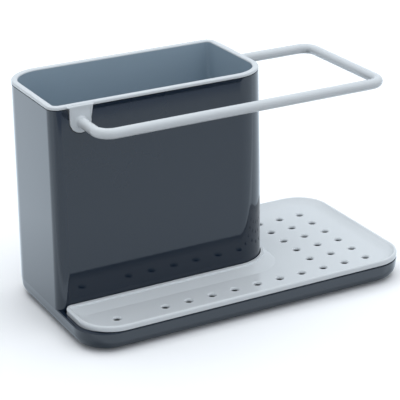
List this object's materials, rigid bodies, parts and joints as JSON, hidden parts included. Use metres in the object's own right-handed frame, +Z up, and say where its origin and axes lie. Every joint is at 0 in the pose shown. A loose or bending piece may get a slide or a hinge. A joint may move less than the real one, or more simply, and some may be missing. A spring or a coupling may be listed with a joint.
{
  "type": "kitchen sink caddy",
  "caption": "Open cup hanging in a dark tank on a low base, with a round cloth rail carried by the cup and a perforated drip tray round the tank's foot.",
  "frame": {"origin": "on the surface that the caddy stands on, under the middle of its base", "axes": "+X along the length, towards the open end of the drip tray; +Y to the back, where the tank stands; +Z up"},
  "size_m": [0.205, 0.11, 0.1284],
  "materials": {
    "dark_plastic": "smooth, semi-gloss, slate grey",
    "light_plastic": "smooth, semi-gloss, pale blue-grey",
    "rail_plastic": "smooth, semi-gloss, pale blue-grey",
    "tray_plastic": "smooth, semi-gloss, pale blue-grey",
    "foot_rubber": "matte, near black"
  },
  "bodies": {
    "base": {"body_shell": "dark_plastic", "foot_front_left": "foot_rubber", "foot_front_right": "foot_rubber", "foot_back_left": "foot_rubber", "foot_back_right": "foot_rubber"},
    "cup": {"inner_cup": "light_plastic", "cloth_rail": "rail_plastic"},
    "tray": {"drip_tray": "tray_plastic"}
  },
  "joints": [
    {"name": "cup_lift", "type": "slide", "parent": "base", "child": "cup", "axis": [0, 0, 1], "range_m": [0, 0.12]},
    {"name": "tray_lift", "type": "slide", "parent": "base", "child": "tray", "axis": [0, 0, 1], "range_m": [0, 0.06]}
  ]
}
